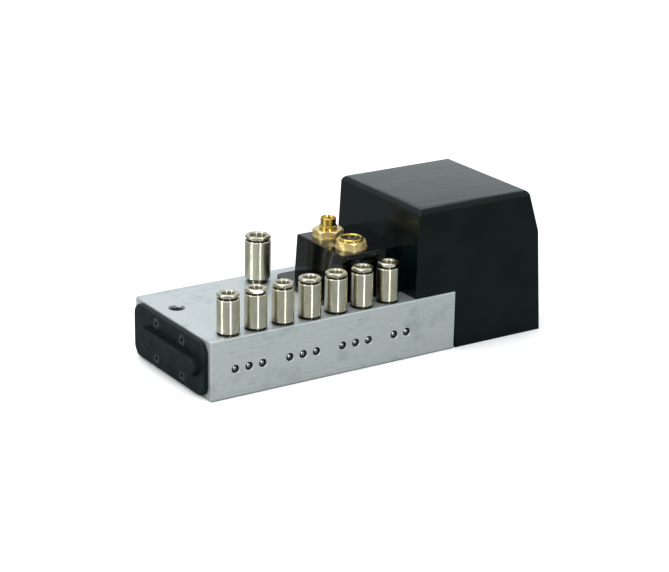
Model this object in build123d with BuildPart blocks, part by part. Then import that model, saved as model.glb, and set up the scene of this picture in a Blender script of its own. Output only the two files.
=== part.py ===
"""Pneumatic valve island.

An aluminium manifold block carries a row of push-in tube fittings, one larger
supply fitting and a moulded connector box.  Four solenoid valves are screwed to
the right end of the block and stand under a moulded hood.  The release ring of
every push-in fitting slides down to let the tube go.

Places are given from the block's front left bottom corner, through at().  The
origin lies at the middle of the underside of the whole part, X runs along the
block, Y to its back and Z up.  Millimetres.
"""
import os
from dataclasses import dataclass
from math import cos, radians, sin, sqrt, tan

from build123d import *

os.makedirs("parts", exist_ok=True)

# ------------------------------------------------------------------ manifold block
block_length = 140.0
block_width = 74.4
block_height = 30.0
block_chamfer = 0.4

port_count = 7              # outlets along the front edge
first_port_x = 13.3
last_port_inset = 36.7      # last outlet to the block's right end
port_row_y = 7.0
supply_port_inset = 10.4    # from the back face
supply_port_clear = 8.1     # from the connector box's foot
port_thread_diameter = 9.73
port_depth = 7.0
port_feed_diameter = 4.0

plug_steps = (0, 1, 2, 4, 5, 6, 8, 9, 10, 12, 13)   # in half port pitches
plug_z = 14.3
plug_diameter = 4.0
plug_recess = 0.4           # ball below the block's face
plug_mouth = 0.25           # chamfer round each hole
channel_diameter = 3.2

mount_hole_left_x = 9.2
mount_hole_left_inset = 25.0        # from the back face
mount_hole_back_end = 36.0          # from the right end
mount_hole_back_inset = 6.0         # from the back face
mount_hole_diameter = 6.6
mount_hole_mouth = 8.4

main_channel_diameter = 6.0
supply_channel_z = 22.0
supply_channel_shift = 4.0  # in front of the supply port
exhaust_channel_z = 6.5
exhaust_channel_shift = 0.8 # behind the block's middle

# ------------------------------------------------------------------ end plate
plate_thickness = 1.8
gasket_thickness = 0.5
plate_inset = 5.2           # narrower than the block
plate_height = 27.2
plate_corner = 6.0
plate_foot = 1.4            # height of its lower edge above the block's underside
bar_inset = 18.6            # shorter than the block's width
bar_width = 9.4
bar_depth = 3.3
bar_shift = 2.1             # in front of the block's middle
bar_centre_z = 15.1
bar_mark_spacing = 33.8
bar_mark_diameter = 8.6
bar_mark_line = 0.3
bar_mark_depth = 0.08
end_screw_spacing_y = 25.5
end_screw_spacing_z = 18.1
end_screw_shift = 0.4       # in front of the block's middle
end_screw_reach = 5.2       # into the block
end_screw_sink = 0.15       # head below the plate's face

# ------------------------------------------------------------------ connector box
box_length = 34.8           # from its left face to the hood
box_front = 15.0
box_depth = 43.5
box_height = 23.4
box_draft = 2.3             # degrees
box_wall = 2.0
box_edge = 0.6
flange_reach = 10.1         # past the box's left face
flange_front = 14.4
flange_back = 61.8
flange_thickness = 2.5
flange_corner = 4.5
flange_tongue = 4.5         # reach under the hood's wall
groove_y = 45.0                # shallow groove down the left face
groove_width = 0.6
groove_depth = 0.3

connector_inset = 12.6      # behind the box's left face
connector_spacing = 21.0
connector_nut_flats = 14.0
connector_nut_height = 4.0
nut_collar_height = 0.9
nut_turn_m8 = 27.0
nut_turn_m12 = 8.0
inner_flange_thickness = 1.5

m8_tube_diameter = 7.8
m8_height = 9.9
m8_body_diameter = 8.8
m8_ring_height = 5.6
m8_socket_diameter = 6.4
m8_insert_top = 3.6
m8_pin_diameter = 1.0
m8_pin_top = 8.0
m8_pin_circle_diameter = 3.2
m8_pin_count = 4

m12_ring_diameter = 12.3
m12_height = 5.4
m12_socket_diameter = 9.3
m12_insert_top = 4.2
m12_contact_diameter = 1.5
m12_contact_circle_diameter = 5.4
m12_contact_count = 5

# ------------------------------------------------------------------ hood
hood_overlap = 23.5         # over the block's right end
hood_height = 75.5
hood_overhang = 54.4        # past the block's right end, at the foot
hood_setback = 0.3          # behind the block's front and back faces
hood_wall = 2.5
hood_draft = 1.5            # degrees, front and back
hood_left_draft = 2.0
hood_shoulder_z = 53.0      # where the right side starts to slope
hood_shoulder_in = 2.6
hood_slope_in = 9.4         # top right edge, in from the foot
hood_top_radius = 3.6
hood_end_gap = 0.15         # to the block's end face, at its top
hood_end_gap_foot = 1.2
boss_diameter = 8.8
boss_height = 16.0
boss_end = 12.0             # from the block's right end
boss_inset = 7.5            # from the block's front and back faces

# ------------------------------------------------------------------ valves and board
valve_count = 4
valve_pitch = 14.0
valve_row_shift = 1.3       # behind the block's middle
valve_width = 13.4
valve_depth = 23.0
valve_foot = 2.0
valve_height = 28.0
valve_gasket_thickness = 0.8
valve_screw_reach = 6.0     # into the block
valve_screw_low = 5.3
valve_screw_high = 26.6
coil_length = 22.0
coil_width = 13.0
coil_height = 15.6
coil_foot = 8.4
tower_height = 13.0
tower_length = 9.0
tower_width = 7.0
terminal_size = 0.8
terminal_spacing = 4.0
board_thickness = 1.6
board_underside = 44.0
board_width = 36.0
board_wide_width = 58.0
board_wide_end = 6.0        # past the block's right end
board_left_gap = 1.5

# ------------------------------------------------------------------ clearances
thread_gap = 0.06           # between a thread and its hole, radial
slide_gap = 0.30            # release ring in its body, radial
tube_gap = 0.05             # tube in its seat, radial
entry_gap = 0.15            # tube in the release ring, radial
fit_gap = 0.10              # between moulded parts

# ------------------------------------------------------------------ worked out
middle_y = block_width / 2
port_pitch = (block_length - first_port_x - last_port_inset) / (port_count - 1)
plug_ball = plug_diameter / 2 - thread_gap
plug_depth = plug_recess + plug_ball + 0.01 + sqrt(plug_ball**2 - (channel_diameter / 2) ** 2)
hood_left = block_length - hood_overlap
box_left = hood_left - box_length
flange_left = box_left - flange_reach
connector_x = box_left + connector_inset
supply_port_x = flange_left - supply_port_clear
supply_port_y = block_width - supply_port_inset
mount_hole_places = (
    (mount_hole_left_x, block_width - mount_hole_left_inset),
    (block_length - mount_hole_back_end, block_width - mount_hole_back_inset),
)
supply_channel_place = (supply_port_y - supply_channel_shift, supply_channel_z)     # y, z
exhaust_channel_place = (middle_y + exhaust_channel_shift, exhaust_channel_z)
plate_width = block_width - plate_inset
bar_length = block_width - bar_inset
bar_centre_y = middle_y - bar_shift
end_screw_centre_y = middle_y - end_screw_shift
boss_x = block_length - boss_end
first_valve_y = middle_y + valve_row_shift - valve_pitch * (valve_count - 1) / 2
board_wide_start = block_length + board_wide_end
end_depth = gasket_thickness + plate_thickness + bar_depth
overall_length = end_depth + block_length + hood_overhang
block_left = end_depth - overall_length / 2
block_front = -block_width / 2
box_top = block_height + box_height
box_middle_y = box_front + box_depth / 2
box_inner_top = box_top - box_wall
board_top = board_underside + board_thickness


def at(x, y, z=0.0):
    """A place measured from the block's front left bottom corner."""
    return (block_left + x, block_front + y, z)


def side_plane(place):
    """A plane through a vertical axis: its local x is the radius, its y the height."""
    return Plane(origin=place, x_dir=(1, 0, 0), z_dir=(0, -1, 0))


def facing_left(x, y, z):
    """A plane that looks to the left; local x runs to the front, local y up."""
    return Plane(origin=at(x, y, z), x_dir=(0, -1, 0), z_dir=(-1, 0, 0))


def facing_right(x, y, z):
    """A plane that looks to the right; local x runs to the back, local y up."""
    return Plane(origin=at(x, y, z), x_dir=(0, 1, 0), z_dir=(1, 0, 0))


def facing_front(x, z, y=0.0):
    """A plane that looks to the front; local x runs right, local y up."""
    return Plane(origin=at(x, y, z), x_dir=(1, 0, 0), z_dir=(0, -1, 0))


def save(piece, name):
    """Label a finished sub-part and write it as a STEP file of that name."""
    piece.part.label = name
    export_step(piece.part, f"parts/{name}.step")


outlet_x = [first_port_x + port_pitch * k for k in range(port_count)]
plug_x = [first_port_x + port_pitch / 2 * step for step in plug_steps]
# The leftmost outlet takes the rearmost channel, so that no drilling crosses another.
channel_pitch = valve_pitch / 2
channel_y = [
    first_valve_y - channel_pitch / 2 + channel_pitch * (port_count - 1 - k)
    for k in range(port_count)
]
valve_y = [first_valve_y + valve_pitch * i for i in range(valve_count)]
outlet_depth = dict(zip(outlet_x, channel_y))
end_screw_places = [
    (end_screw_centre_y + sy * end_screw_spacing_y / 2, bar_centre_z + sz * end_screw_spacing_z / 2)
    for sy in (-1, 1)
    for sz in (-1, 1)
]
boss_places = [(boss_x, boss_inset), (boss_x, block_width - boss_inset)]
flange_screw_place = ((flange_left + box_left) / 2, (flange_front + flange_back) / 2)
valve_screw_places = [(y, z) for y in valve_y for z in (valve_screw_low, valve_screw_high)]


# ================================================================== fasteners
@dataclass
class Screw:
    """A metric screw with a hexagon socket."""
    thread: float
    head: float
    head_height: float
    socket: float
    length: float

    @property
    def core(self):
        return self.thread / 2 - thread_gap


plate_screw = Screw(3.0, 5.5, 1.6, 2.0, end_screw_reach + gasket_thickness + plate_thickness)
flange_screw = Screw(3.0, 5.5, 3.0, 2.5, 9.0)
hood_screw = Screw(4.0, 7.0, 4.0, 3.0, 38.0)
valve_screw = Screw(2.5, 4.5, 2.5, 2.0, valve_depth + valve_gasket_thickness + valve_screw_reach)
hood_screw_sink = hood_screw.head_height + 0.6
head_gap = 0.3              # round a screw's head in its recess


def hexagon_radius(flats):
    """Corner radius of a hexagon of this size across its flats."""
    return flats / 2 / cos(radians(30))


def cap_screws(planes, screw):
    """Socket head screws whose heads stand on the given planes."""
    with BuildPart() as screws:
        with BuildSketch(*planes):
            Circle(screw.core)
        extrude(amount=-screw.length)
        with BuildSketch(*planes):
            Circle(screw.head / 2)
        extrude(amount=screw.head_height)
        tops = [plane.offset(screw.head_height) for plane in planes]
        with BuildSketch(*tops):
            RegularPolygon(hexagon_radius(screw.socket), 6)
        extrude(amount=-screw.head_height * 0.55, mode=Mode.SUBTRACT)
    return screws


# ================================================================== manifold block
with BuildPart() as manifold_block:
    with BuildSketch(Plane(at(0, 0, 0))):
        Rectangle(block_length, block_width, align=(Align.MIN, Align.MIN))
    extrude(amount=block_height)
    chamfer(manifold_block.edges(), block_chamfer)
    # threaded ports with their feeds down to the channels
    port_places = [at(x, port_row_y, block_height) for x in outlet_x]
    supply_place = at(supply_port_x, supply_port_y, block_height)
    with Locations(*port_places, supply_place):
        CounterSinkHole(
            radius=port_thread_diameter / 2,
            counter_sink_radius=port_thread_diameter / 2 + block_chamfer,
            depth=port_depth,
            counter_sink_angle=90,
        )
    with Locations(*port_places):
        Hole(radius=port_feed_diameter / 2, depth=block_height - plug_z)
    with Locations(supply_place):
        Hole(radius=port_feed_diameter / 2, depth=block_height - supply_channel_place[1])
    # cross drillings from the front face, each closed by a plug
    for x in plug_x:
        with Locations(facing_front(x, plug_z)):
            CounterSinkHole(
                radius=plug_diameter / 2,
                counter_sink_radius=plug_diameter / 2 + plug_mouth,
                depth=plug_depth,
                counter_sink_angle=90,
            )
            Hole(radius=channel_diameter / 2, depth=outlet_depth.get(x, port_row_y * 2))
    # outlet channels from the valves, and the two main channels
    for x, y in outlet_depth.items():
        with Locations(facing_right(block_length, y, plug_z)):
            Hole(radius=channel_diameter / 2, depth=block_length - x)
    for y, z in (supply_channel_place, exhaust_channel_place):
        with Locations(facing_left(0, y, z)):
            Hole(radius=main_channel_diameter / 2, depth=block_length)
    # mounting holes right through
    with Locations(*[at(x, y, block_height) for x, y in mount_hole_places]):
        CounterSinkHole(
            radius=mount_hole_diameter / 2,
            counter_sink_radius=mount_hole_mouth / 2,
            depth=block_height,
            counter_sink_angle=90,
        )
    # threads for the end plate, the connector box and the valves
    for y, z in end_screw_places:
        with Locations(facing_left(0, y, z)):
            Hole(radius=plate_screw.thread / 2, depth=end_screw_reach + 0.3)
    with Locations(at(*flange_screw_place, block_height)):
        Hole(radius=flange_screw.thread / 2, depth=flange_screw.length - flange_thickness + 1.0)
    for y, z in valve_screw_places:
        with Locations(facing_right(block_length, y, z)):
            Hole(radius=valve_screw.thread / 2, depth=valve_screw_reach + 1.0)
    # counterbored holes for the hood's screws, from below
    with Locations(*[Plane(at(x, y, 0), z_dir=(0, 0, -1)) for x, y in boss_places]):
        CounterBoreHole(
            radius=hood_screw.thread / 2 + fit_gap,
            counter_bore_radius=hood_screw.head / 2 + head_gap,
            counter_bore_depth=hood_screw_sink,
            depth=block_height,
        )
save(manifold_block, "manifold_block")

# ================================================================== sealing plugs
with BuildPart() as sealing_plugs:
    with Locations(*[at(x, plug_recess + plug_ball, plug_z) for x in plug_x]):
        Sphere(plug_ball)
save(sealing_plugs, "sealing_plugs")

# ================================================================== end plate
plate_middle = (block_width / 2, plate_foot + plate_height / 2)
gasket_face = facing_left(0, *plate_middle)
plate_back = gasket_face.offset(gasket_thickness)
plate_face = plate_back.offset(plate_thickness)
screw_spots = [(plate_middle[0] - y, z - plate_middle[1]) for y, z in end_screw_places]
bar_spot = (plate_middle[0] - bar_centre_y, bar_centre_z - plate_middle[1])

with BuildPart() as end_gasket:
    with BuildSketch(gasket_face):
        RectangleRounded(plate_width, plate_height, plate_corner)
        with Locations(*screw_spots):
            Circle(plate_screw.thread / 2 + fit_gap, mode=Mode.SUBTRACT)
    extrude(amount=gasket_thickness)
save(end_gasket, "end_gasket")

with BuildPart() as end_plate:
    with BuildSketch(plate_back):
        RectangleRounded(plate_width, plate_height, plate_corner)
    extrude(amount=plate_thickness)
    chamfer(end_plate.faces().sort_by(Axis.X)[0].edges(), 0.3)
    with BuildSketch(plate_face):
        with Locations(bar_spot):
            SlotOverall(bar_length, bar_width)
    extrude(amount=bar_depth)
    fillet(end_plate.faces().sort_by(Axis.X)[0].edges(), 0.4)
    # two round moulding marks on the bar
    with BuildSketch(plate_face.offset(bar_depth)):
        for side in (-1, 1):
            with Locations((bar_spot[0] + side * bar_mark_spacing / 2, bar_spot[1])):
                Circle(bar_mark_diameter / 2)
                Circle(bar_mark_diameter / 2 - bar_mark_line, mode=Mode.SUBTRACT)
    extrude(amount=-bar_mark_depth, mode=Mode.SUBTRACT)
    for spot in screw_spots:
        with Locations(plate_face * Location((*spot, 0))):
            CounterSinkHole(
                radius=plate_screw.thread / 2 + fit_gap,
                counter_sink_radius=plate_screw.head / 2 + fit_gap + end_screw_sink,
                depth=plate_thickness,
                counter_sink_angle=90,
            )
save(end_plate, "end_plate")

head_planes = [(plate_face * Location((*spot, -end_screw_sink))) for spot in screw_spots]
with BuildPart() as end_plate_screws:
    with Locations(*head_planes):
        Cone(
            bottom_radius=plate_screw.core,
            top_radius=plate_screw.head / 2,
            height=plate_screw.head / 2 - plate_screw.core,
            align=(Align.CENTER, Align.CENTER, Align.MAX),
        )
        Cylinder(
            radius=plate_screw.core,
            height=plate_screw.length - end_screw_sink,
            align=(Align.CENTER, Align.CENTER, Align.MAX),
        )
    with BuildSketch(*[Plane(spot) for spot in head_planes]):
        RegularPolygon(hexagon_radius(plate_screw.socket), 6)
    extrude(amount=-1.1, mode=Mode.SUBTRACT)
save(end_plate_screws, "end_plate_screws")


# ================================================================== push-in fittings
@dataclass
class Fitting:
    """Sizes of a straight push-in fitting with an outside round body."""
    tube: float
    body: float
    height: float           # body above the block
    neck_height: float
    taper_height: float
    foot: float             # diameter at the taper's lower end
    bore: float
    stop: float             # height of the tube's stop above the block
    release_height: float
    release_flats: float
    release_gap: float      # between the release ring and the body at rest
    collet_wall: float

    neck: float = 9.3
    stem: float = 6.0       # thread depth in the block
    collet_depth: float = 7.0
    lip_height: float = 1.2
    lip_reach: float = 0.4
    lip_play: float = 0.7
    seal_section: float = 1.6
    socket: float = 4.0

    @property
    def sleeve(self):
        """Outside radius of the release ring's sleeve."""
        return self.tube / 2 + entry_gap + self.collet_wall

    @property
    def guide(self):
        """Bore radius that guides the sleeve."""
        return self.sleeve + slide_gap

    @property
    def lip_foot(self):
        """Height of the sleeve's lower end at rest."""
        return self.height - self.collet_depth

    @property
    def seal_room(self):
        """Radius of the groove that holds the seal."""
        return self.tube / 2 + self.seal_section

    @property
    def seal_top(self):
        return self.lip_foot - self.release_gap

    @property
    def seal_foot(self):
        return self.seal_top - self.seal_section - 0.2


outlet_fitting = Fitting(
    tube=6.0, body=11.0, height=17.6, neck_height=0.2, taper_height=1.1, foot=9.6,
    bore=4.0, stop=2.4, release_height=1.4, release_flats=9.8, release_gap=1.2, collet_wall=0.8,
)
supply_fitting = Fitting(
    tube=8.0, body=13.0, height=21.8, neck_height=1.8, taper_height=0.6, foot=12.0,
    bore=5.0, stop=5.2, release_height=1.4, release_flats=11.6, release_gap=1.1, collet_wall=0.8,
)


def fitting_body(place, size):
    """Turned body: thread, neck, taper, barrel, and inside it the seal and sleeve bores."""
    body_r = size.body / 2
    thread_r = port_thread_diameter / 2 - thread_gap
    lip_room = size.guide + size.lip_reach + 0.1
    room_top = size.lip_foot + size.lip_height + size.lip_play
    with BuildPart() as body:
        with BuildSketch(side_plane(place)) as section:
            with BuildLine():
                Polyline(
                    (size.bore / 2, -size.stem),
                    (thread_r - 0.5, -size.stem),
                    (thread_r, -size.stem + 0.5),
                    (thread_r, -0.6),
                    (size.neck / 2, -0.2),
                    (size.neck / 2, size.neck_height),
                    (size.foot / 2, size.neck_height),
                    (body_r, size.neck_height + size.taper_height),
                    (body_r, size.height - 0.4),
                    (body_r - 0.3, size.height),
                    (size.guide, size.height),
                    (size.guide, room_top),
                    (lip_room, room_top),
                    (lip_room, size.seal_top),
                    (size.seal_room, size.seal_top),
                    (size.seal_room, size.seal_foot),
                    (size.tube / 2 + tube_gap, size.seal_foot),
                    (size.tube / 2 + tube_gap, size.stop),
                    (size.bore / 2, size.stop),
                    close=True,
                )
            make_face()
        revolve(axis=Axis(place, (0, 0, 1)))
        with BuildSketch(Plane(place).offset(-size.stem)):
            RegularPolygon(hexagon_radius(size.socket + 0.5), 6)
        extrude(amount=size.stem * 0.8, mode=Mode.SUBTRACT)
    return body


def release_ring(place, size, turn):
    """Hexagonal push ring and its slotted gripping sleeve, turned by some degrees."""
    flange_foot = size.height + size.release_gap
    flange_top = flange_foot + size.release_height
    rim = size.body / 2
    entry = size.tube / 2 + entry_gap
    lip = size.sleeve + size.lip_reach
    with BuildPart() as ring:
        with BuildSketch(side_plane(place)):
            with BuildLine():
                Polyline(
                    (entry, size.lip_foot),
                    (lip - 0.3, size.lip_foot),
                    (lip, size.lip_foot + 0.3),
                    (lip, size.lip_foot + size.lip_height),
                    (size.sleeve, size.lip_foot + size.lip_height),
                    (size.sleeve, flange_foot),
                    (rim - 0.3, flange_foot),
                    (rim, flange_foot + 0.25),
                    (rim, flange_top - 0.4),
                    (rim - 0.75, flange_top),
                    (entry + 0.35, flange_top),
                    (entry, flange_top - 0.5),
                    close=True,
                )
            make_face()
        revolve(axis=Axis(place, (0, 0, 1)))
        with BuildSketch(Plane(place).offset(size.lip_foot)):
            RegularPolygon(hexagon_radius(size.release_flats), 6, rotation=turn)
        extrude(amount=flange_top - size.lip_foot, mode=Mode.INTERSECT)
        # two crossing slots make four gripping fingers
        with BuildSketch(Plane(place).offset(size.lip_foot)):
            for angle in (turn, turn + 90):
                Rectangle(size.body, 0.7, rotation=angle)
        extrude(amount=size.collet_depth - 2.0, mode=Mode.SUBTRACT)
    return ring


def fitting_seal(place, size):
    """Rubber ring round the tube, lying on the floor of its groove."""
    section = size.seal_section / 2 - 0.05
    with BuildPart() as seal:
        with BuildSketch(side_plane(place)):
            with Locations((size.tube / 2 + tube_gap + section, size.seal_foot + section + 0.02)):
                Circle(section)
        revolve(axis=Axis(place, (0, 0, 1)))
    return seal


release_turns = (27, 41, 52, 27, 13, 47, 33)
for number, (place, turn) in enumerate(zip(port_places, release_turns), start=1):
    save(fitting_body(place, outlet_fitting), f"outlet_body_{number}")
    save(release_ring(place, outlet_fitting, turn), f"release_ring_{number}")
    save(fitting_seal(place, outlet_fitting), f"outlet_seal_{number}")
save(fitting_body(supply_place, supply_fitting), "supply_body")
save(release_ring(supply_place, supply_fitting, 22), "supply_release_ring")
save(fitting_seal(supply_place, supply_fitting), "supply_seal")

# ================================================================== connector box
lean = box_height * tan(radians(box_draft))
flange_top_z = block_height + flange_thickness
m8_y = box_middle_y + connector_spacing / 2
m12_y = box_middle_y - connector_spacing / 2
m8_place = at(connector_x, m8_y, box_top)
m12_place = at(connector_x, m12_y, box_top)


def box_section(z, inset):
    """Rectangle of the box's outline at a height, drawn in by an inset on three sides."""
    shift = (z - block_height) * tan(radians(box_draft)) + inset
    hood_lean = (z - block_height) * tan(radians(hood_left_draft))
    with BuildSketch(Plane(at(box_left + shift, box_front + shift, z))) as section:
        Rectangle(
            hood_left + hood_lean - box_left - shift,
            box_depth - 2 * shift,
            align=(Align.MIN, Align.MIN),
        )
    return section.sketch


box_outer = loft([box_section(block_height, 0), box_section(box_top, 0)], mode=Mode.PRIVATE)
box_inner = loft(
    [box_section(block_height, box_wall), box_section(box_inner_top, box_wall)],
    mode=Mode.PRIVATE,
)
with BuildPart() as connector_box:
    add(box_outer)
    fillet(connector_box.edges().filter_by(Axis.Z, reverse=True).group_by(Axis.X)[0], box_edge)
    fillet(connector_box.faces().sort_by(Axis.Z)[-1].edges().sort_by(Axis.X)[:-1], box_edge)
    # foot flange, rounded at the left and tucked under the hood at the right
    with BuildSketch(Plane(at(flange_left, flange_front, block_height))) as foot:
        Rectangle(
            hood_left + flange_tongue - flange_left,
            flange_back - flange_front,
            align=(Align.MIN, Align.MIN),
        )
        fillet(foot.vertices().group_by(Axis.X)[0], flange_corner)
    extrude(amount=flange_thickness)
    add(box_inner, mode=Mode.SUBTRACT)
    # the tongue is open between its two arms, for the board
    with BuildSketch(Plane(at(hood_left - 1.0, box_front + box_wall, block_height))):
        Rectangle(flange_tongue + 2.0, box_depth - 2 * box_wall, align=(Align.MIN, Align.MIN))
    extrude(amount=flange_thickness, mode=Mode.SUBTRACT)
    # holes for the connectors and the foot screw
    with Locations(m8_place):
        Hole(radius=m8_body_diameter / 2 + fit_gap, depth=box_wall)
    with Locations(m12_place):
        Hole(radius=m12_ring_diameter / 2 + fit_gap, depth=box_wall)
    with Locations(at(*flange_screw_place, flange_top_z)):
        Hole(radius=flange_screw.thread / 2 + fit_gap, depth=flange_thickness)
    # shallow groove down the left face
    left_face = Plane(
        origin=at(box_left, groove_y, block_height),
        x_dir=(0, -1, 0),
        z_dir=(-cos(radians(box_draft)), 0, sin(radians(box_draft))),
    )
    with BuildSketch(left_face):
        Rectangle(groove_width, box_height - 2 * box_edge, align=(Align.CENTER, Align.MIN))
    extrude(amount=-groove_depth, mode=Mode.SUBTRACT)
save(connector_box, "connector_box")


# ================================================================== round connectors
def panel_nut(place, bore, turn):
    """Thin brass nut with a turned collar under its hexagon."""
    corner = hexagon_radius(connector_nut_flats)
    with BuildPart() as nut:
        with BuildSketch(Plane(place)):
            RegularPolygon(corner, 6, rotation=turn)
        extrude(amount=connector_nut_height)
        # turned chamfer over the six corners
        with BuildSketch(side_plane(place)):
            with BuildLine():
                Polyline(
                    (0, 0),
                    (corner - 0.2, 0),
                    (corner - 0.2, connector_nut_height - 0.6),
                    (corner - 1.0, connector_nut_height),
                    (0, connector_nut_height),
                    close=True,
                )
            make_face()
        revolve(axis=Axis(place, (0, 0, 1)), mode=Mode.INTERSECT)
        with BuildSketch(Plane(place)):
            Circle(corner - 0.2)
        extrude(amount=nut_collar_height)
        with BuildSketch(Plane(place)):
            Circle(bore + thread_gap)
        extrude(amount=connector_nut_height, mode=Mode.SUBTRACT)
    return nut


def turned_shell(place, outline):
    """A turned connector shell, from the radius and height of each corner of its wall."""
    with BuildPart() as shell:
        with BuildSketch(side_plane(place)):
            with BuildLine():
                Polyline(*outline, close=True)
            make_face()
        revolve(axis=Axis(place, (0, 0, 1)))
    return shell


shell_foot = -box_wall - inner_flange_thickness     # below the box's top face
insert_foot = board_top - box_top                   # the inserts stand on the board

m8_tube_r = m8_tube_diameter / 2
m8_body_r = m8_body_diameter / 2
m8_socket_r = m8_socket_diameter / 2
m8_shell = turned_shell(m8_place, (
    (m8_socket_r, shell_foot),
    (m8_body_r + 1.6, shell_foot),
    (m8_body_r + 1.6, -box_wall),
    (m8_body_r, -box_wall),
    (m8_body_r, m8_ring_height - 0.5),
    (m8_body_r + 0.15, m8_ring_height - 0.3),
    (m8_body_r + 0.15, m8_ring_height),
    (m8_tube_r, m8_ring_height + 0.3),
    (m8_tube_r, m8_height - 0.3),
    (m8_tube_r - 0.3, m8_height),
    (m8_socket_r + 0.1, m8_height),
    (m8_socket_r, m8_height - 0.2),
))
save(m8_shell, "m8_shell")
save(panel_nut(m8_place, m8_body_r, nut_turn_m8), "m8_nut")

m12_ring_r = m12_ring_diameter / 2
m12_socket_r = m12_socket_diameter / 2
m12_shell = turned_shell(m12_place, (
    (m12_socket_r, shell_foot),
    (m12_ring_r + 1.6, shell_foot),
    (m12_ring_r + 1.6, -box_wall),
    (m12_ring_r, -box_wall),
    (m12_ring_r, m12_height - 0.4),
    (m12_ring_r - 0.4, m12_height),
    (m12_socket_r + 0.5, m12_height),
    (m12_socket_r, m12_height - 0.5),
))
save(m12_shell, "m12_shell")
save(panel_nut(m12_place, m12_ring_r, nut_turn_m12), "m12_nut")


contact_tail = 1.0          # solder tail below the board
contact_foot = board_underside - contact_tail - box_top

with BuildPart() as m8_pins:
    with BuildSketch(Plane(m8_place).offset(contact_foot)):
        with PolarLocations(m8_pin_circle_diameter / 2, m8_pin_count, start_angle=45):
            Circle(m8_pin_diameter / 2)
    extrude(amount=m8_pin_top - contact_foot)
    chamfer(m8_pins.edges().group_by(Axis.Z)[-1], 0.3)
save(m8_pins, "m8_pins")

m12_contact_top = m12_insert_top - 0.3
with BuildPart() as m12_contacts:
    with BuildSketch(Plane(m12_place).offset(contact_foot)):
        with PolarLocations(m12_contact_circle_diameter / 2, m12_contact_count, start_angle=45):
            Circle(m12_contact_diameter / 2)
    extrude(amount=m12_contact_top - contact_foot)
    with BuildSketch(Plane(m12_place).offset(m12_contact_top)):
        with PolarLocations(m12_contact_circle_diameter / 2, m12_contact_count, start_angle=45):
            Circle(m12_contact_diameter / 2 - 0.3)
    extrude(amount=-4.0, mode=Mode.SUBTRACT)
save(m12_contacts, "m12_contacts")

with BuildPart() as m8_insert:
    with BuildSketch(Plane(m8_place).offset(insert_foot)):
        Circle(m8_socket_r - thread_gap)
        with PolarLocations(m8_pin_circle_diameter / 2, m8_pin_count, start_angle=45):
            Circle(m8_pin_diameter / 2 + thread_gap, mode=Mode.SUBTRACT)
    extrude(amount=m8_insert_top - insert_foot)
save(m8_insert, "m8_insert")

with BuildPart() as m12_insert:
    with BuildSketch(Plane(m12_place).offset(insert_foot)):
        Circle(m12_socket_r - thread_gap)
        with PolarLocations(m12_contact_circle_diameter / 2, m12_contact_count, start_angle=45):
            Circle(m12_contact_diameter / 2 + thread_gap, mode=Mode.SUBTRACT)
    extrude(amount=m12_insert_top - insert_foot)
    # coding groove in the rim of the insert
    with BuildSketch(Plane(m12_place).offset(m12_insert_top)):
        with PolarLocations(m12_socket_r, 1, start_angle=90):
            Circle(0.9)
    extrude(amount=-5.0, mode=Mode.SUBTRACT)
save(m12_insert, "m12_insert")

# ================================================================== hood
hood_right = block_length + hood_overhang
hood_window_top = box_inner_top - 2.0


def hood_solid(inset):
    """The hood's solid form drawn in by an inset.

    Its front view is an L that steps over the block.  The front and back lean in.
    """
    top = hood_height - inset
    left_lean = (top - block_height) * tan(radians(hood_left_draft))
    side_lean = tan(radians(hood_draft))
    width = block_width - 2 * (hood_setback + inset)
    with BuildPart(mode=Mode.PRIVATE) as form:
        with BuildSketch(facing_front(0, 0, hood_setback + inset)):
            with BuildLine():
                Polyline(
                    (hood_left + inset, block_height),
                    (hood_left + inset + left_lean, top),
                    (hood_right - hood_slope_in - inset, top),
                    (hood_right - hood_shoulder_in - inset, hood_shoulder_z),
                    (hood_right - inset, 0),
                    (block_length + hood_end_gap_foot, 0),
                    (block_length + hood_end_gap, block_height),
                    close=True,
                )
            make_face()
        extrude(amount=-width)
        with BuildSketch(facing_left(hood_left - 1, block_width / 2, 0)):
            with BuildLine():
                Polyline(
                    (-width / 2, 0),
                    (width / 2, 0),
                    (width / 2 - top * side_lean, top),
                    (-width / 2 + top * side_lean, top),
                    close=True,
                )
            make_face()
        extrude(amount=-(hood_right - hood_left + 2), mode=Mode.INTERSECT)
    return form


hood_form = hood_solid(0)
hood_core = hood_solid(hood_wall)
with BuildPart() as hood:
    add(hood_form.part)
    fillet(hood.faces().sort_by(Axis.Z)[-1].edges(), hood_top_radius)
    add(hood_core.part, mode=Mode.SUBTRACT)
    # open towards the valves at the block's end
    with BuildSketch(Plane(at(block_length - 1, hood_setback + hood_wall, 0))):
        Rectangle(
            hood_end_gap_foot + 2,
            block_width - 2 * (hood_setback + hood_wall),
            align=(Align.MIN, Align.MIN),
        )
    extrude(amount=block_height, mode=Mode.SUBTRACT)
    # bosses for the screws from below, tied to the front and back walls
    with BuildSketch(Plane(at(0, 0, block_height))):
        with Locations(*boss_places):
            Circle(boss_diameter / 2)
    extrude(amount=boss_height)
    with Locations(*[Plane(at(x, y, block_height), z_dir=(0, 0, -1)) for x, y in boss_places]):
        Hole(radius=hood_screw.thread / 2, depth=boss_height - 2.0)
    # window for the board, and a notch for the connector box's foot
    with BuildSketch(facing_left(hood_left - 1, box_middle_y, block_height)):
        Rectangle(box_depth - 2 * box_wall, hood_window_top - block_height,
                  align=(Align.CENTER, Align.MIN))
        with Locations((box_middle_y - (flange_front + flange_back) / 2, 0)):
            Rectangle(flange_back - flange_front + 2 * fit_gap, flange_thickness + fit_gap,
                      align=(Align.CENTER, Align.MIN))
    extrude(amount=-(hood_wall + 3), mode=Mode.SUBTRACT)
save(hood, "hood")

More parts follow.
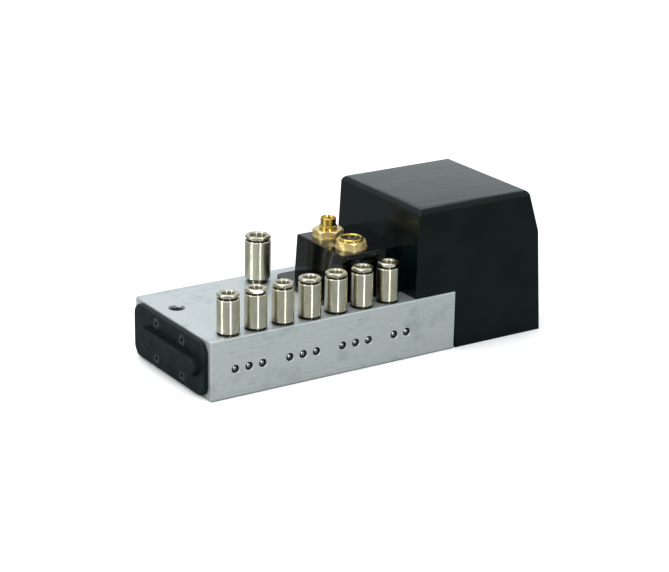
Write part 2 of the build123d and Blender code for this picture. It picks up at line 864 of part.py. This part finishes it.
hood_screw_planes = [
    Plane(at(x, y, hood_screw_sink), z_dir=(0, 0, -1)) for x, y in boss_places
]
save(cap_screws(hood_screw_planes, hood_screw), "hood_screws")
save(cap_screws([Plane(at(*flange_screw_place, flange_top_z))], flange_screw), "box_screw")

# ================================================================== valves
valve_face = block_length + valve_gasket_thickness
valve_back = valve_face + valve_depth
with BuildPart() as valve_gaskets:
    for y in valve_y:
        with BuildSketch(facing_right(block_length, y, valve_foot + 0.5)):
            with Locations((0, (block_height - valve_foot - 1.5) / 2)):
                Rectangle(valve_width - 1.0, block_height - valve_foot - 1.5)
            for z in (valve_screw_low, valve_screw_high):
                with Locations((0, z - valve_foot - 0.5)):
                    Circle(valve_screw.thread / 2 + fit_gap, mode=Mode.SUBTRACT)
            for side in (-1, 1):
                with Locations((side * channel_pitch / 2, plug_z - valve_foot - 0.5)):
                    Circle(channel_diameter / 2, mode=Mode.SUBTRACT)
        extrude(amount=valve_gasket_thickness)
save(valve_gaskets, "valve_gaskets")


def valve_body(y):
    """Valve housing with its two ports and its two screw holes along X."""
    with BuildPart() as body:
        with BuildSketch(facing_right(valve_face, y, valve_foot)):
            Rectangle(valve_width, valve_height, align=(Align.CENTER, Align.MIN))
        extrude(amount=valve_depth)
        fillet(body.edges().filter_by(Axis.X), 1.0)
        chamfer(body.faces().sort_by(Axis.X)[-1].edges(), 0.4)
        for side in (-1, 1):
            with Locations(facing_left(valve_face, y + side * channel_pitch / 2, plug_z)):
                Hole(radius=channel_diameter / 2, depth=valve_depth / 2)
        for z in (valve_screw_low, valve_screw_high):
            with Locations(facing_right(valve_back, y, z)):
                Hole(radius=valve_screw.thread / 2 + fit_gap, depth=valve_depth)
    return body


def valve_coil(y):
    """Moulded coil with a terminal tower that reaches up to the board."""
    with BuildPart() as coil:
        with BuildSketch(facing_right(valve_back, y, coil_foot)):
            Rectangle(coil_width, coil_height, align=(Align.CENTER, Align.MIN))
        extrude(amount=coil_length)
        fillet(coil.edges().filter_by(Axis.X), 2.0)
        tower_foot = at(valve_back + coil_length / 2, y, coil_foot + coil_height)
        with BuildSketch(Plane(tower_foot)):
            Rectangle(tower_length, tower_width)
        extrude(amount=tower_height, taper=1)
        with BuildSketch(Plane(tower_foot).offset(tower_height)):
            with GridLocations(terminal_spacing, 1, 2, 1):
                Rectangle(terminal_size, terminal_size)
        extrude(amount=board_top + contact_tail - tower_height - coil_foot - coil_height)
    return coil


for number, y in enumerate(valve_y, start=1):
    save(valve_body(y), f"valve_body_{number}")
    save(valve_coil(y), f"valve_coil_{number}")

valve_screw_planes = [facing_right(valve_back, y, z) for y, z in valve_screw_places]
save(cap_screws(valve_screw_planes, valve_screw), "valve_screws")

# ================================================================== control board
coil_middle = valve_back + coil_length / 2
board_left = box_left + lean + box_wall + board_left_gap
with BuildPart() as control_board:
    with BuildSketch(Plane(at(0, 0, board_underside))):
        with Locations((board_left, box_middle_y - board_width / 2)):
            Rectangle(
                board_wide_start - board_left, board_width, align=(Align.MIN, Align.MIN)
            )
        wide_middle = (valve_y[0] + valve_y[-1]) / 2
        with Locations((board_wide_start, wide_middle - board_wide_width / 2)):
            Rectangle(
                coil_middle + tower_length - board_wide_start,
                board_wide_width,
                align=(Align.MIN, Align.MIN),
            )
        for y in valve_y:
            with Locations((coil_middle, y)):
                with GridLocations(terminal_spacing, 1, 2, 1):
                    Rectangle(terminal_size + fit_gap, terminal_size + fit_gap, mode=Mode.SUBTRACT)
        for y, count, circle, diameter in (
            (m8_y, m8_pin_count, m8_pin_circle_diameter, m8_pin_diameter),
            (m12_y, m12_contact_count, m12_contact_circle_diameter, m12_contact_diameter),
        ):
            with Locations((connector_x, y)):
                with PolarLocations(circle / 2, count, start_angle=45):
                    Circle(diameter / 2 + thread_gap, mode=Mode.SUBTRACT)
    extrude(amount=board_thickness)
save(control_board, "control_board")
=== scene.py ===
from math import radians

import bpy
from mathutils import Matrix, Vector

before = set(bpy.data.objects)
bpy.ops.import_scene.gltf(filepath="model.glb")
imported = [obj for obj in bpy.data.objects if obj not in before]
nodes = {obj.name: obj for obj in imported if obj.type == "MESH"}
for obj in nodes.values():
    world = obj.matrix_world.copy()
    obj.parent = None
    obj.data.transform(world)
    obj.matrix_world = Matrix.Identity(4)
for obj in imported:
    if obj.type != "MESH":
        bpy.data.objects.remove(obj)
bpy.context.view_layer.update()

# ================================================================== manifold block
# A drilled bar of aluminium, sawn to length and milled on all sides.  The cutter leaves
# fine lengthwise lines on the front and top, and its edges are broken with a chamfer.
MM = 0.001


def linear(hex_colour):
    """The linear colour that the shader takes for an sRGB hex value."""
    channels = [int(hex_colour[i:i + 2], 16) / 255 for i in (1, 3, 5)]
    light = [
        c / 12.92 if c <= 0.04045 else ((c + 0.055) / 1.055) ** 2.4 for c in channels
    ]
    return (*light, 1)


def add(finish, kind, inputs=None, stops=None, **settings):
    """Adds a node to a finish.  An input takes a value, a socket, or a node, which then
    gives its first usable output.  Stops are a colour ramp's (position, colour) pairs."""
    tree = finish.node_tree
    node = tree.nodes.new("ShaderNode" + kind)
    for name, value in settings.items():
        setattr(node, name, value)
    for socket, value in (inputs or {}).items():
        if isinstance(value, bpy.types.Node):
            value = next(output for output in value.outputs if output.enabled)
        if isinstance(value, bpy.types.NodeSocket):
            tree.links.new(value, node.inputs[socket])
        else:
            node.inputs[socket].default_value = value
    for number, (position, hex_colour) in enumerate(stops or []):
        band = node.color_ramp.elements
        stop = band[number] if number < 2 else band.new(position)
        stop.position = position
        stop.color = linear(hex_colour)
    return node


def start(name):
    """An empty finish, and the object's own coordinates in metres."""
    finish = bpy.data.materials.new(name)
    finish.use_nodes = True
    finish.node_tree.nodes.clear()
    return finish, add(finish, "TexCoord").outputs["Object"]


def marks(x_mm, y_mm, z_mm):
    """The pattern scale that gives each mark this size along x, y and z."""
    return [1 / (size * MM) for size in (x_mm, y_mm, z_mm)]


# Points nearer than the first value are joined, and edges sharper than the second stay crisp.
same_point_mm = 0.002
crisp_degrees = 32.0


def dress(name, finish):
    """Gives a solid its finish, with smooth curved faces and crisp edges."""
    piece = nodes[name]
    piece.data.materials.clear()
    piece.data.materials.append(finish)
    for face in piece.data.polygons:
        face.use_smooth = True
    weld = piece.modifiers.new("join_faces", "WELD")
    weld.merge_threshold = same_point_mm * MM
    crisp = piece.modifiers.new("crisp_edges", "EDGE_SPLIT")
    crisp.split_angle = radians(crisp_degrees)


# Milled aluminium: a pale, slightly blue metal, with lines along its length, short darker
# scores, faint stains from handling, and shade in its bores.  Real cutter lines are too
# fine to show, so they are drawn 0.3 mm apart.
milled, place = start("milled_aluminium")
lines = add(milled, "TexNoise", {
    "Vector": add(milled, "Mapping", {"Vector": place, "Scale": marks(45, 0.3, 0.3)}),
    "Scale": 1.0, "Detail": 5.0, "Roughness": 0.62,
})
scores = add(milled, "TexNoise", {
    "Vector": add(milled, "Mapping", {"Vector": place, "Scale": marks(5, 0.4, 0.4)}),
    "Scale": 1.0, "Detail": 3.0, "Roughness": 0.5,
})
stains = add(milled, "TexNoise", {
    "Vector": add(milled, "Mapping", {"Vector": place, "Scale": marks(14, 12, 12)}),
    "Scale": 1.0, "Detail": 4.0, "Roughness": 0.6,
})
openness = add(milled, "AmbientOcclusion", {"Distance": 2.5 * MM}, samples=8)
tint = add(
    milled, "ValToRGB", {"Fac": lines}, stops=[(0.34, "#b4bcbd"), (0.62, "#ccd3d4")]
)
score = add(
    milled, "ValToRGB", {"Fac": scores}, stops=[(0.29, "#b9bfc1"), (0.38, "#ffffff")]
)
stain = add(
    milled, "ValToRGB", {"Fac": stains}, stops=[(0.32, "#ebeded"), (0.46, "#ffffff")]
)
shade = add(
    milled, "ValToRGB", {"Fac": openness.outputs["AO"]},
    stops=[(0.2, "#3a3f40"), (0.75, "#ffffff")],
)
colour = tint
for layer in (score, stain, shade):
    colour = add(
        milled, "Mix", {"Factor": 1.0, "A": colour, "B": layer},
        data_type="RGBA", blend_type="MULTIPLY",
    )

# The two mounting holes are given painted shade, a darker grey than the faces up to their
# rims, and are smoother.  Their centres are measured from the middle of the part.
hole_centres_mm = ((-85.2, 12.2), (9.6, 31.2))
inside_rim_mm, rim_mm = 4.1, 4.2
flat = add(milled, "VectorMath", {0: place, 1: (1, 1, 0)}, operation="MULTIPLY")
on_face = 1.0
for x_mm, y_mm in hole_centres_mm:
    centre = (x_mm * MM, y_mm * MM, 0)
    reach = add(milled, "VectorMath", {0: flat, 1: centre}, operation="DISTANCE")
    outside = add(milled, "MapRange", {
        "Value": reach.outputs["Value"],
        "From Min": inside_rim_mm * MM, "From Max": rim_mm * MM,
    })
    on_face = add(milled, "Math", {0: on_face, 1: outside}, operation="MULTIPLY")
# Painted shade: inside the bores the colour becomes a darker grey.
colour = add(
    milled, "Mix", {"Factor": on_face, "A": linear("#7d8486"), "B": colour},
    data_type="RGBA", blend_type="MIX",
)
sheen = add(milled, "MapRange", {
    "Value": lines, "From Min": 0.3, "From Max": 0.7, "To Min": 0.44, "To Max": 0.38,
})
polish = add(milled, "Mix", {"Factor": on_face, "A": 0.16, "B": sheen}, data_type="FLOAT")
edge = add(milled, "Bevel", {"Radius": 0.25 * MM}, samples=6)
relief = add(milled, "Bump", {
    "Height": lines, "Strength": 0.25, "Distance": 0.04 * MM, "Normal": edge,
})
shader = add(milled, "BsdfPrincipled", {
    "Base Color": colour, "Metallic": 0.78, "Roughness": polish, "Normal": relief,
})
add(milled, "OutputMaterial", {"Surface": shader})
dress("manifold_block", milled)

# ================================================================== sealing plugs
# Bright steel balls pressed into the cross drillings along the front close them.  Each
# lies a little below the face, behind a small chamfer.

# Polished ball steel: a mirror, dulled a little by the press, with painted shade round its
# edge.
ball_steel, place = start("polished_ball_steel")
haze = add(ball_steel, "TexNoise", {
    "Vector": add(ball_steel, "Mapping", {"Vector": place, "Scale": marks(0.5, 0.5, 0.5)}),
    "Scale": 1.0, "Detail": 3.0, "Roughness": 0.55,
})
openness = add(ball_steel, "AmbientOcclusion", {"Distance": 1.5 * MM}, samples=8)
film = add(
    ball_steel, "ValToRGB", {"Fac": haze}, stops=[(0.3, "#8e9294"), (0.7, "#b4b8ba")]
)
# Painted shade: the ball darkens where it sits close in its hole.
painted_edge_shade = add(
    ball_steel, "ValToRGB", {"Fac": openness.outputs["AO"]},
    stops=[(0.2, "#060708"), (1.0, "#ffffff")],
)
colour = add(
    ball_steel, "Mix", {"Factor": 1.0, "A": film, "B": painted_edge_shade},
    data_type="RGBA", blend_type="MULTIPLY",
)
shader = add(ball_steel, "BsdfPrincipled", {
    "Base Color": colour, "Metallic": 1.0, "Roughness": 0.12,
})
add(ball_steel, "OutputMaterial", {"Surface": shader})
dress("sealing_plugs", ball_steel)

# ================================================================== end plate
# A moulded plate of glass-filled nylon with a carrying bar across it.  It lies on a
# rubber gasket and is held by four countersunk socket screws.

# Moulded nylon: black with a cold green cast, slightly uneven, and pitted, with painted shade
# where it is closed in.  Real pits are too fine to show, so they are drawn 0.6 mm wide.
nylon, place = start("moulded_nylon")
pores = add(nylon, "TexNoise", {
    "Vector": add(nylon, "Mapping", {"Vector": place, "Scale": marks(0.6, 0.6, 0.6)}),
    "Scale": 1.0, "Detail": 4.0, "Roughness": 0.6,
})
patches = add(nylon, "TexNoise", {
    "Vector": add(nylon, "Mapping", {"Vector": place, "Scale": marks(7, 7, 7)}),
    "Scale": 1.0, "Detail": 3.0, "Roughness": 0.55,
})
openness = add(nylon, "AmbientOcclusion", {"Distance": 4.0 * MM}, samples=8)
cast = add(
    nylon, "ValToRGB", {"Fac": patches}, stops=[(0.35, "#050f11"), (0.65, "#0a181a")]
)
# Painted shade: darker where the plate is closed in, round the bar and the screws.
shade = add(
    nylon, "ValToRGB", {"Fac": openness.outputs["AO"]},
    stops=[(0.2, "#202020"), (0.85, "#ffffff")],
)
colour = add(
    nylon, "Mix", {"Factor": 1.0, "A": cast, "B": shade},
    data_type="RGBA", blend_type="MULTIPLY",
)
edge = add(nylon, "Bevel", {"Radius": 0.35 * MM}, samples=6)
relief = add(nylon, "Bump", {
    "Height": pores, "Strength": 0.25, "Distance": 0.08 * MM, "Normal": edge,
})
shader = add(nylon, "BsdfPrincipled", {
    "Base Color": colour, "Roughness": 0.42, "IOR": 1.5, "Specular IOR Level": 0.13,
    "Normal": relief,
})
add(nylon, "OutputMaterial", {"Surface": shader})
dress("end_plate", nylon)

# Moulded rubber: a matt, slightly mottled black.
rubber, place = start("moulded_rubber")
mottle = add(rubber, "TexNoise", {
    "Vector": add(rubber, "Mapping", {"Vector": place, "Scale": marks(2, 2, 2)}),
    "Scale": 1.0, "Detail": 3.0, "Roughness": 0.55,
})
bloom = add(
    rubber, "ValToRGB", {"Fac": mottle}, stops=[(0.3, "#0a0b0b"), (0.7, "#151616")]
)
shader = add(rubber, "BsdfPrincipled", {
    "Base Color": bloom, "Roughness": 0.7, "IOR": 1.5, "Specular IOR Level": 0.3,
})
add(rubber, "OutputMaterial", {"Surface": shader})
dress("end_gasket", rubber)

# Black oxide on steel: dark, with a dull grey shine where it has been handled, and painted
# shade in its hollows.
black_oxide, place = start("black_oxide_steel")
handling = add(black_oxide, "TexNoise", {
    "Vector": add(black_oxide, "Mapping", {"Vector": place, "Scale": marks(1, 1, 1)}),
    "Scale": 1.0, "Detail": 3.0, "Roughness": 0.55,
})
openness = add(black_oxide, "AmbientOcclusion", {"Distance": 1.5 * MM}, samples=8)
oxide = add(
    black_oxide, "ValToRGB", {"Fac": handling}, stops=[(0.3, "#2e3537"), (0.7, "#535a5c")]
)
# Painted shade: darker in the socket and round the head.
shade = add(
    black_oxide, "ValToRGB", {"Fac": openness.outputs["AO"]},
    stops=[(0.2, "#080808"), (0.9, "#ffffff")],
)
colour = add(
    black_oxide, "Mix", {"Factor": 1.0, "A": oxide, "B": shade},
    data_type="RGBA", blend_type="MULTIPLY",
)
shader = add(black_oxide, "BsdfPrincipled", {
    "Base Color": colour, "Metallic": 0.8, "Roughness": 0.38,
})
add(black_oxide, "OutputMaterial", {"Surface": shader})
dress("end_plate_screws", black_oxide)

# ================================================================== push-in fittings
# Turned brass bodies, nickel plated, screwed into the block.  Each holds a collet that
# is released by pushing its hexagon ring, and a rubber seal.

# Nickel plate over turned brass: warm grey.  The turning marks are too fine to show as
# lines, and only stretch each reflection along the axis.  The mouths and grooves are painted
# dark, as painted shade.
nickel, place = start("nickel_plated_brass")
round_axis = add(nickel, "Tangent", direction_type="RADIAL", axis="Z")
haze = add(nickel, "TexNoise", {
    "Vector": add(nickel, "Mapping", {"Vector": place, "Scale": marks(3, 3, 6)}),
    "Scale": 1.0, "Detail": 3.0, "Roughness": 0.55,
})
openness = add(nickel, "AmbientOcclusion", {"Distance": 5.0 * MM}, samples=8)
film = add(nickel, "ValToRGB", {"Fac": haze}, stops=[(0.3, "#c3c0ab"), (0.7, "#d4d1bd")])
# Painted shade: the mouths and grooves darken where they are closed in.
shade = add(
    nickel, "ValToRGB", {"Fac": openness.outputs["AO"]},
    stops=[(0.35, "#0a0a06"), (0.8, "#ffffff")],
)
colour = add(
    nickel, "Mix", {"Factor": 1.0, "A": film, "B": shade},
    data_type="RGBA", blend_type="MULTIPLY",
)
shader = add(nickel, "BsdfPrincipled", {
    "Base Color": colour, "Metallic": 1.0, "Roughness": 0.27,
    "Anisotropic": 1.0, "Anisotropic Rotation": 0.25, "Tangent": round_axis,
})
add(nickel, "OutputMaterial", {"Surface": shader})
for k in range(1, 8):
    dress(f"outlet_body_{k}", nickel)
    dress(f"outlet_seal_{k}", rubber)
    dress(f"release_ring_{k}", nickel)
dress("supply_body", nickel)
dress("supply_seal", rubber)
dress("supply_release_ring", nickel)

# ================================================================== connector box
# A glossy black box moulded in ABS.  It stands on the block on a wide foot, tucked
# under the hood, and carries the two round electrical connectors.

# Polished ABS: deep black and mirror-smooth, with a faint unevenness in its black.
gloss_abs, place = start("polished_abs")
unevenness = add(gloss_abs, "TexNoise", {
    "Vector": add(gloss_abs, "Mapping", {"Vector": place, "Scale": marks(9, 9, 9)}),
    "Scale": 1.0, "Detail": 3.0, "Roughness": 0.55,
})
depth = add(
    gloss_abs, "ValToRGB", {"Fac": unevenness}, stops=[(0.3, "#020404"), (0.7, "#050808")]
)
edge = add(gloss_abs, "Bevel", {"Radius": 0.3 * MM}, samples=6)
shader = add(gloss_abs, "BsdfPrincipled", {
    "Base Color": depth, "Roughness": 0.07, "IOR": 1.5, "Specular IOR Level": 0.32,
    "Normal": edge,
})
add(gloss_abs, "OutputMaterial", {"Surface": shader})
dress("connector_box", gloss_abs)
dress("box_screw", black_oxide)

# ================================================================== connectors
# Turned brass sockets with a gold flash, each clamped to the box's top by a hexagon
# nut.  A moulded insert inside holds gold-plated contacts.

# Gold flash over brass: deep yellow with pale reflections, and painted shade, dark brown, in
# its hollows.
gold, place = start("gold_flashed_brass")
round_axis = add(gold, "Tangent", direction_type="RADIAL", axis="Z")
rubbing = add(gold, "TexNoise", {
    "Vector": add(gold, "Mapping", {"Vector": place, "Scale": marks(2, 2, 2)}),
    "Scale": 1.0, "Detail": 3.0, "Roughness": 0.55,
})
openness = add(gold, "AmbientOcclusion", {"Distance": 2.5 * MM}, samples=8)
wear = add(gold, "ValToRGB", {"Fac": rubbing}, stops=[(0.3, "#b89a45"), (0.7, "#d2ba6c")])
# Painted shade: dark brown where the shell is closed in.
shade = add(
    gold, "ValToRGB", {"Fac": openness.outputs["AO"]},
    stops=[(0.2, "#2a1a06"), (0.7, "#ffffff")],
)
colour = add(
    gold, "Mix", {"Factor": 1.0, "A": wear, "B": shade},
    data_type="RGBA", blend_type="MULTIPLY",
)
shader = add(gold, "BsdfPrincipled", {
    "Base Color": colour, "Metallic": 1.0, "Roughness": 0.22,
    "Anisotropic": 0.7, "Anisotropic Rotation": 0.25, "Tangent": round_axis,
})
add(gold, "OutputMaterial", {"Surface": shader})
dress("m8_shell", gold)
dress("m12_shell", gold)

# The nuts are tumbled before the flash, so they are paler and duller than the shells.
# Their hollows get painted shade.
tumbled, place = start("tumbled_gold_flash")
rubbing = add(tumbled, "TexNoise", {
    "Vector": add(tumbled, "Mapping", {"Vector": place, "Scale": marks(1.5, 1.5, 1.5)}),
    "Scale": 1.0, "Detail": 3.0, "Roughness": 0.55,
})
openness = add(tumbled, "AmbientOcclusion", {"Distance": 2.0 * MM}, samples=8)
wear = add(
    tumbled, "ValToRGB", {"Fac": rubbing}, stops=[(0.3, "#d3bc78"), (0.7, "#e9d7a0")]
)
# Painted shade: darker brown where the nut is closed in.
shade = add(
    tumbled, "ValToRGB", {"Fac": openness.outputs["AO"]},
    stops=[(0.2, "#4a3210"), (0.6, "#ffffff")],
)
colour = add(
    tumbled, "Mix", {"Factor": 1.0, "A": wear, "B": shade},
    data_type="RGBA", blend_type="MULTIPLY",
)
shader = add(tumbled, "BsdfPrincipled", {
    "Base Color": colour, "Metallic": 0.8, "Roughness": 0.34,
})
add(tumbled, "OutputMaterial", {"Surface": shader})
dress("m8_nut", tumbled)
dress("m12_nut", tumbled)
dress("m8_pins", gold)
dress("m12_contacts", gold)

# Moulded insert: a plain dark nylon.
insert_nylon, place = start("insert_nylon")
swirl = add(insert_nylon, "TexNoise", {
    "Vector": add(insert_nylon, "Mapping", {"Vector": place, "Scale": marks(2, 2, 2)}),
    "Scale": 1.0, "Detail": 3.0, "Roughness": 0.55,
})
flow = add(
    insert_nylon, "ValToRGB", {"Fac": swirl}, stops=[(0.3, "#0e0f0e"), (0.7, "#191a18")]
)
shader = add(insert_nylon, "BsdfPrincipled", {
    "Base Color": flow, "Roughness": 0.5, "IOR": 1.5,
})
add(insert_nylon, "OutputMaterial", {"Surface": shader})
dress("m8_insert", insert_nylon)
dress("m12_insert", insert_nylon)

# ================================================================== hood
# A black moulded hood covers the valves at the block's right end.  It is satin, rubbed
# along its top, and held from below by two screws.

# Satin ABS: black with a cold green cast.  Its top only is paler, partly pale streaks left by
# cleaning and partly painted light, and is told from the walls by how far its faces look up.
satin_abs, place = start("satin_abs")
rub = add(satin_abs, "TexNoise", {
    "Vector": add(satin_abs, "Mapping", {"Vector": place, "Scale": marks(40, 0.8, 0.8)}),
    "Scale": 1.0, "Detail": 5.0, "Roughness": 0.65,
})
cloud = add(satin_abs, "TexNoise", {
    "Vector": add(satin_abs, "Mapping", {"Vector": place, "Scale": marks(25, 25, 25)}),
    "Scale": 1.0, "Detail": 3.0, "Roughness": 0.55,
})
base = add(
    satin_abs, "ValToRGB", {"Fac": cloud}, stops=[(0.3, "#020808"), (0.7, "#050f0f")]
)
streaks_and_painted_top_light = add(
    satin_abs, "ValToRGB", {"Fac": rub}, stops=[(0.36, "#152222"), (0.68, "#374546")]
)
surface = add(satin_abs, "NewGeometry")
facing = add(satin_abs, "SeparateXYZ", {"Vector": surface.outputs["Normal"]})
# Painted light and real streaks: faces that look up take the paler streaked colour, so the
# top is lighter than the walls.
top = add(satin_abs, "MapRange", {
    "Value": facing.outputs["Z"], "From Min": 0.8, "From Max": 0.98,
})
colour = add(
    satin_abs, "Mix", {"Factor": top, "A": base, "B": streaks_and_painted_top_light},
    data_type="RGBA", blend_type="MIX",
)
polish = add(satin_abs, "MapRange", {
    "Value": cloud, "From Min": 0.3, "From Max": 0.7, "To Min": 0.15, "To Max": 0.22,
})
edge = add(satin_abs, "Bevel", {"Radius": 0.9 * MM}, samples=8)
relief = add(satin_abs, "Bump", {
    "Height": rub, "Strength": 0.14, "Distance": 0.04 * MM, "Normal": edge,
})
shader = add(satin_abs, "BsdfPrincipled", {
    "Base Color": colour, "Roughness": polish, "IOR": 1.5, "Specular IOR Level": 0.22,
    "Normal": relief,
})
add(satin_abs, "OutputMaterial", {"Surface": shader})
dress("hood", satin_abs)

# Zinc plate on steel: a bright, slightly clouded grey.
zinc, place = start("zinc_plated_steel")
spangle = add(zinc, "TexNoise", {
    "Vector": add(zinc, "Mapping", {"Vector": place, "Scale": marks(1.5, 1.5, 1.5)}),
    "Scale": 1.0, "Detail": 3.0, "Roughness": 0.55,
})
cloudy = add(
    zinc, "ValToRGB", {"Fac": spangle}, stops=[(0.3, "#9a9c9e"), (0.7, "#c3c5c6")]
)
shader = add(zinc, "BsdfPrincipled", {
    "Base Color": cloudy, "Metallic": 1.0, "Roughness": 0.3,
})
add(zinc, "OutputMaterial", {"Surface": shader})
dress("hood_screws", zinc)

# ================================================================== valves and board
# Under the hood, four solenoid valves are bolted to the block's end on rubber gaskets.
# Their terminals reach up through a green circuit board.

# Anodised aluminium: an even, dull silver.
anodised, place = start("anodised_aluminium")
drift = add(anodised, "TexNoise", {
    "Vector": add(anodised, "Mapping", {"Vector": place, "Scale": marks(4, 4, 4)}),
    "Scale": 1.0, "Detail": 3.0, "Roughness": 0.55,
})
even = add(
    anodised, "ValToRGB", {"Fac": drift}, stops=[(0.3, "#9ea1a5"), (0.7, "#babdc0")]
)
shader = add(anodised, "BsdfPrincipled", {
    "Base Color": even, "Metallic": 1.0, "Roughness": 0.4,
})
add(anodised, "OutputMaterial", {"Surface": shader})

# Coil moulding: a plain black nylon.
coil_nylon, place = start("coil_nylon")
swirl = add(coil_nylon, "TexNoise", {
    "Vector": add(coil_nylon, "Mapping", {"Vector": place, "Scale": marks(3, 3, 3)}),
    "Scale": 1.0, "Detail": 3.0, "Roughness": 0.55,
})
flow = add(
    coil_nylon, "ValToRGB", {"Fac": swirl}, stops=[(0.3, "#161717"), (0.7, "#222323")]
)
shader = add(coil_nylon, "BsdfPrincipled", {
    "Base Color": flow, "Roughness": 0.45, "IOR": 1.5,
})
add(coil_nylon, "OutputMaterial", {"Surface": shader})
for k in range(1, 5):
    dress(f"valve_body_{k}", anodised)
    dress(f"valve_coil_{k}", coil_nylon)
dress("valve_gaskets", rubber)
dress("valve_screws", zinc)

# Solder mask: green lacquer over copper tracks, which show as paler bands.
solder_mask, place = start("solder_mask")
bands = add(solder_mask, "TexNoise", {
    "Vector": add(solder_mask, "Mapping", {"Vector": place, "Scale": marks(1.5, 1.5, 30)}),
    "Scale": 1.0, "Detail": 3.0, "Roughness": 0.55,
})
tracks = add(
    solder_mask, "ValToRGB", {"Fac": bands}, stops=[(0.45, "#0d4a26"), (0.55, "#146234")]
)
shader = add(solder_mask, "BsdfPrincipled", {
    "Base Color": tracks, "Roughness": 0.3, "IOR": 1.5,
})
add(solder_mask, "OutputMaterial", {"Surface": shader})
dress("control_board", solder_mask)

# ================================================================== floor, light and camera
# A white floor under a large soft light, with two strips for the long highlights on
# the turned metal.
bpy.ops.mesh.primitive_plane_add(size=12, location=(0, 0, 0))
floor = bpy.context.object
floor.name = "floor"

# Matt white paper, very slightly uneven over its width.  It is greyer in reflections, so
# that the metal keeps some contrast.
paper, place = start("white_paper")
unevenness = add(paper, "TexNoise", {
    "Vector": add(paper, "Mapping", {"Vector": place, "Scale": marks(400, 400, 400)}),
    "Scale": 1.0, "Detail": 3.0, "Roughness": 0.55,
})
white = add(
    paper, "ValToRGB", {"Fac": unevenness}, stops=[(0.3, "#f6f6f6"), (0.7, "#fafafa")]
)
ray = add(paper, "LightPath")
colour = add(
    paper, "Mix",
    {"Factor": ray.outputs["Is Glossy Ray"], "A": white, "B": linear("#7c807e")},
    data_type="RGBA", blend_type="MIX",
)
shader = add(paper, "BsdfPrincipled", {"Base Color": colour, "Roughness": 0.9})
add(paper, "OutputMaterial", {"Surface": shader})
floor.data.materials.append(paper)


def softbox(name, place, aim, width, height, power):
    """A rectangular soft light that faces a point."""
    lamp = bpy.data.lights.new(name, "AREA")
    lamp.shape = "RECTANGLE"
    lamp.size, lamp.size_y = width, height
    lamp.energy = power
    light = bpy.data.objects.new(name, lamp)
    bpy.context.scene.collection.objects.link(light)
    light.location = place
    light.rotation_euler = (Vector(aim) - Vector(place)).to_track_quat("-Z", "Y").to_euler()


part_middle = (0, 0, 0.04)
softbox("overhead", (-0.1, 0.2, 1.2), part_middle, width=1.4, height=1.1, power=10)
softbox("left_strip", (-0.9, 0.0, 0.30), part_middle, width=0.11, height=0.7, power=4.6)
softbox("front_strip", (-0.16, -0.9, 0.30), part_middle, width=0.12, height=0.7, power=4.8)

world = bpy.data.worlds.new("studio")
bpy.context.scene.world = world
world.use_nodes = True
sky = world.node_tree.nodes["Background"]
sky.inputs["Color"].default_value = linear("#f2f5f8")
sky.inputs["Strength"].default_value = 0.9

# A long lens from the front left, a little above the part.  Its three directions were
# solved together with its place.
lens = bpy.data.cameras.new("camera")
lens.lens = 111.3
lens.sensor_width = 36
lens.clip_end = 50
camera = bpy.data.objects.new("camera", lens)
bpy.context.scene.collection.objects.link(camera)
right = Vector((0.84002473, -0.54229673, 0.01651428))
down = Vector((-0.1674675, -0.28812105, -0.94283662))
ahead = Vector((0.51605533, 0.78924047, -0.33284588))
stand = Vector((-0.53552, -0.81556, 0.37414))
turn = Matrix((right, -down, -ahead)).transposed()
camera.matrix_world = Matrix.Translation(stand) @ turn.to_4x4()
bpy.context.scene.camera = camera
bpy.context.scene.view_settings.view_transform = "Standard"
